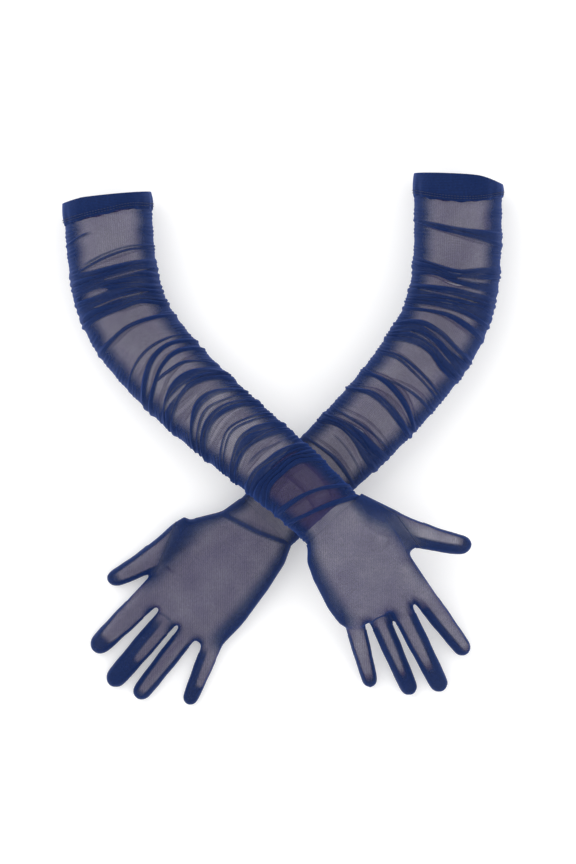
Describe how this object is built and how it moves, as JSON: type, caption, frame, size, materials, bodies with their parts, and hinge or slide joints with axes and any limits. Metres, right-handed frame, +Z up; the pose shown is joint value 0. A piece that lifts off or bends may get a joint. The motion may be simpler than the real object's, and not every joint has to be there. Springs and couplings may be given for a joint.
{
  "type": "pair of opera gloves",
  "caption": "Pair of long sheer ruched gloves with doubled cuff hems, gathered side seams and sewn finger stalls, laid down crossed at the wrists.",
  "frame": {"origin": "on the table under the middle of the pair's outline", "axes": "+Y towards the cuffs, +X towards the side of the left glove's cuff, +Z up from the table"},
  "size_m": [0.4058, 0.4875, 0.1039],
  "materials": {
    "ruched_mesh": "sheer stretch mesh, gathered into dense folds",
    "smooth_mesh": "sheer stretch mesh, single layer",
    "stall_mesh": "sheer stretch mesh with turned seam allowances",
    "hem_band": "doubled mesh, matt",
    "gathering_tape": "gathered seam, matt"
  },
  "bodies": {
    "left_upper_sleeve": {"left_cuff_hem": "hem_band", "left_upper_back_panel": "ruched_mesh", "left_upper_inner_panel": "ruched_mesh", "left_upper_gathering_tapes": "gathering_tape"},
    "left_forearm_sleeve": {"left_forearm_back_panel": "ruched_mesh", "left_forearm_inner_panel": "ruched_mesh", "left_forearm_gathering_tapes": "gathering_tape"},
    "left_hand": {"left_hand_back": "smooth_mesh", "left_hand_palm": "smooth_mesh"},
    "left_thumb": {"left_thumb_stall": "stall_mesh"},
    "left_index": {"left_index_stall": "stall_mesh"},
    "left_middle": {"left_middle_stall": "stall_mesh"},
    "left_ring": {"left_ring_stall": "stall_mesh"},
    "left_little": {"left_little_stall": "stall_mesh"},
    "right_upper_sleeve": {"right_cuff_hem": "hem_band", "right_upper_back_panel": "ruched_mesh", "right_upper_inner_panel": "ruched_mesh", "right_upper_gathering_tapes": "gathering_tape"},
    "right_forearm_sleeve": {"right_forearm_back_panel": "ruched_mesh", "right_forearm_inner_panel": "ruched_mesh", "right_forearm_gathering_tapes": "gathering_tape"},
    "right_hand": {"right_hand_back": "smooth_mesh", "right_hand_palm": "smooth_mesh"},
    "right_thumb": {"right_thumb_stall": "stall_mesh"},
    "right_index": {"right_index_stall": "stall_mesh"},
    "right_middle": {"right_middle_stall": "stall_mesh"},
    "right_ring": {"right_ring_stall": "stall_mesh"},
    "right_little": {"right_little_stall": "stall_mesh"}
  },
  "joints": [
    {"name": "right_glove_lift_off", "type": "slide", "parent": "left_forearm_sleeve", "child": "right_forearm_sleeve", "axis": [0, 0, 1], "range_m": [0, 0.15]},
    {"name": "left_elbow_bend", "type": "hinge", "parent": "left_forearm_sleeve", "child": "left_upper_sleeve", "pos_m": [0.142, 0.092, 0.038], "axis": [0, 0, 1], "range_deg": [-42, 40]},
    {"name": "left_wrist_flex", "type": "hinge", "parent": "left_forearm_sleeve", "child": "left_hand", "pos_m": [-0.014, -0.078, 0.0215], "axis": [0.7071, -0.7071, 0], "range_deg": [-30, 45]},
    {"name": "left_thumb_flex", "type": "hinge", "parent": "left_hand", "child": "left_thumb", "pos_m": [-0.093, -0.092, 0.015], "axis": [0.4947, -0.8691, 0], "range_deg": [-10, 45]},
    {"name": "left_index_flex", "type": "hinge", "parent": "left_hand", "child": "left_index", "pos_m": [-0.125, -0.149, 0.011], "axis": [0.7507, -0.6606, 0], "range_deg": [-10, 55]},
    {"name": "left_middle_flex", "type": "hinge", "parent": "left_hand", "child": "left_middle", "pos_m": [-0.104, -0.165, 0.011], "axis": [0.8029, -0.5961, 0], "range_deg": [-10, 55]},
    {"name": "left_ring_flex", "type": "hinge", "parent": "left_hand", "child": "left_ring", "pos_m": [-0.084, -0.177, 0.011], "axis": [0.8281, -0.5606, 0], "range_deg": [-10, 55]},
    {"name": "left_little_flex", "type": "hinge", "parent": "left_hand", "child": "left_little", "pos_m": [-0.063, -0.189, 0.01], "axis": [0.9383, -0.3457, 0], "range_deg": [-10, 55]},
    {"name": "right_elbow_bend", "type": "hinge", "parent": "right_forearm_sleeve", "child": "right_upper_sleeve", "pos_m": [-0.134, 0.096, 0.039], "axis": [0, 0, -1], "range_deg": [-42, 40]},
    {"name": "right_wrist_flex", "type": "hinge", "parent": "right_forearm_sleeve", "child": "right_hand", "pos_m": [0.047, -0.076, 0.08], "axis": [0.7314, 0.682, 0], "range_deg": [-30, 45]},
    {"name": "right_thumb_flex", "type": "hinge", "parent": "right_hand", "child": "right_thumb", "pos_m": [0.099, -0.079, 0.06], "axis": [0.273, 0.962, 0], "range_deg": [-10, 45]},
    {"name": "right_index_flex", "type": "hinge", "parent": "right_hand", "child": "right_index", "pos_m": [0.128, -0.143, 0.041], "axis": [0.8186, 0.5744, 0], "range_deg": [-10, 55]},
    {"name": "right_middle_flex", "type": "hinge", "parent": "right_hand", "child": "right_middle", "pos_m": [0.108, -0.154, 0.0425], "axis": [0.9076, 0.4198, 0], "range_deg": [-10, 55]},
    {"name": "right_ring_flex", "type": "hinge", "parent": "right_hand", "child": "right_ring", "pos_m": [0.087, -0.161, 0.041], "axis": [0.9302, 0.3672, 0], "range_deg": [-10, 55]},
    {"name": "right_little_flex", "type": "hinge", "parent": "right_hand", "child": "right_little", "pos_m": [0.066, -0.167, 0.04], "axis": [0.972, 0.2352, 0], "range_deg": [-10, 55]}
  ]
}
